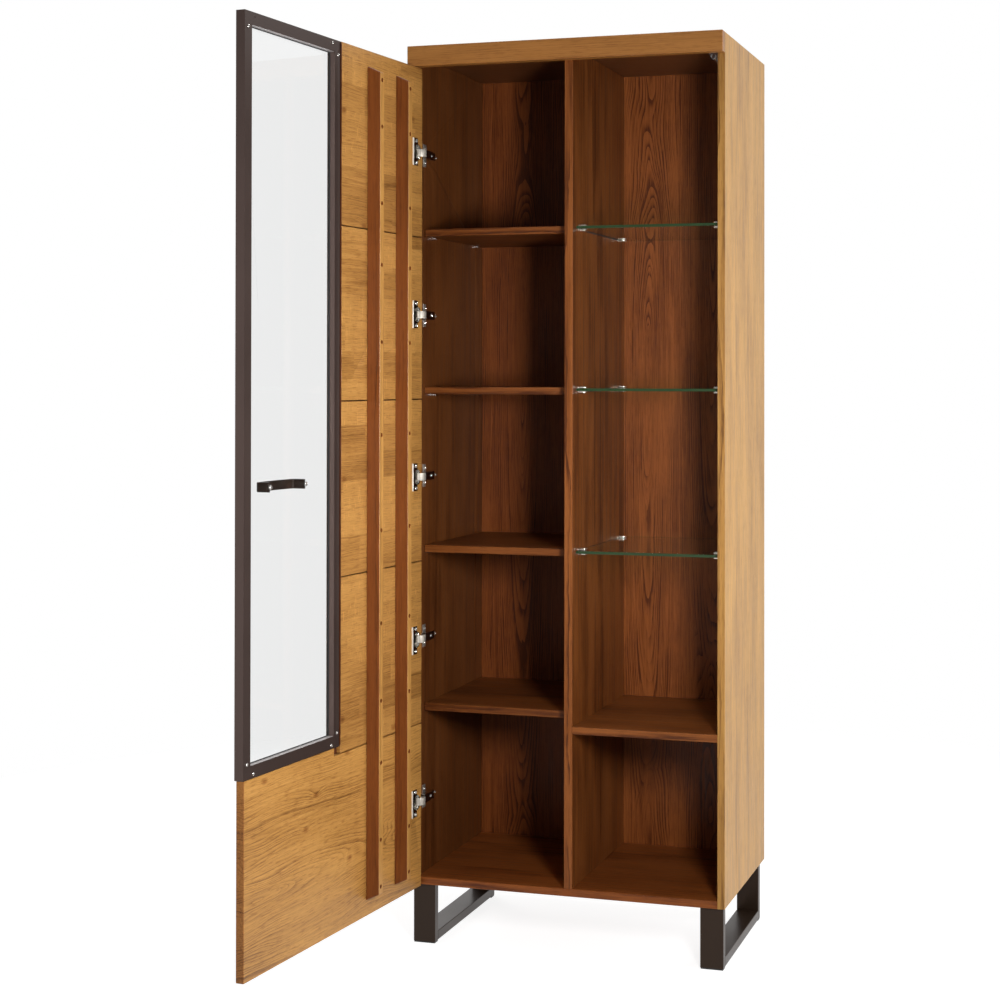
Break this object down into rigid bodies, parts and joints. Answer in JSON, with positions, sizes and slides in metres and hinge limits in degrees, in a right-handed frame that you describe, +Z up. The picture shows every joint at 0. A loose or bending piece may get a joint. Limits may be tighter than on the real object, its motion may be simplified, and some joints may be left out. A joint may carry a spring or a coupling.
{
  "type": "display cabinet",
  "caption": "Tall oak display cabinet on dark sled legs, with a plank and framed-glass door on concealed hinges, wooden shelves on one side and glass shelves on the other",
  "frame": {"origin": "on the floor under the middle of the carcass, halfway across its width and its depth", "axes": "+Z is up, -Y is the front that the door closes, +X is to the right as one faces the open cabinet"},
  "size_m": [0.7789, 1.1238, 1.96],
  "materials": {
    "oak": "satin lacquered oak with open straight grain",
    "dark_metal": "fine matt powder coat, very dark brown",
    "clear_glass": "clear float glass with green edges",
    "chrome_fittings": "bright chrome plate",
    "nickel_hinges": "nickel plate",
    "zinc_screws": "zinc plate",
    "black_plastic": "matt moulded plastic",
    "black_rubber": "soft extruded strip",
    "clear_plastic": "clear moulded plastic"
  },
  "bodies": {
    "cabinet": {"back_panel": "oak", "bottom_panel": "oak", "centre_divider": "oak", "corner_bumper": "clear_plastic", "fixed_shelf": "oak", "glass_shelf_1": "clear_glass", "glass_shelf_2": "clear_glass", "glass_shelf_3": "clear_glass", "glass_shelf_clips": "chrome_fittings", "hinge_arm_screws": "nickel_hinges", "hinge_arms": "nickel_hinges", "hinge_plate_screws": "nickel_hinges", "hinge_plates": "nickel_hinges", "left_front_glide": "black_plastic", "left_front_leg_upright": "dark_metal", "left_leg_bar": "dark_metal", "left_rear_glide": "black_plastic", "left_rear_leg_upright": "dark_metal", "left_side_panel": "oak", "leg_screws": "zinc_screws", "right_front_glide": "black_plastic", "right_front_leg_upright": "dark_metal", "right_leg_bar": "dark_metal", "right_rear_glide": "black_plastic", "right_rear_leg_upright": "dark_metal", "right_side_panel": "oak", "shelf_pins": "chrome_fittings", "top_front_rail": "oak", "top_panel": "oak", "wood_shelf_1": "oak", "wood_shelf_2": "oak", "wood_shelf_3": "oak", "wood_shelf_4": "oak"},
    "hinge_linkage": {"hinge_links": "nickel_hinges"},
    "door": {"door_bottom_panel": "oak", "door_plank_1": "oak", "door_plank_2": "oak", "door_plank_3": "oak", "door_plank_4": "oak", "door_batten_1": "oak", "door_batten_2": "oak", "door_batten_screws": "zinc_screws", "frame_hinge_stile": "dark_metal", "frame_free_stile": "dark_metal", "frame_bottom_rail": "dark_metal", "frame_top_rail": "dark_metal", "frame_corner_screws": "chrome_fittings", "door_glass": "clear_glass", "glazing_gasket": "black_rubber", "door_handle": "dark_metal", "handle_screws": "chrome_fittings", "hinge_cups": "nickel_hinges", "hinge_cup_screws": "nickel_hinges"}
  },
  "joints": [
    {"name": "link_swing", "type": "hinge", "parent": "cabinet", "child": "hinge_linkage", "pos_m": [-0.319, -0.211, 1.0205], "axis": [0, 0, 1], "range_deg": [-53.5, 8.2]},
    {"name": "door_turn", "type": "hinge", "parent": "hinge_linkage", "child": "door", "pos_m": [-0.32664, -0.22884, 1.0205], "axis": [0, 0, 1], "range_deg": [-22.7, 148.8]}
  ],
  "couplings": [
    {"joint": "link_swing", "follows": "door_turn", "ratio": -0.35885}
  ]
}
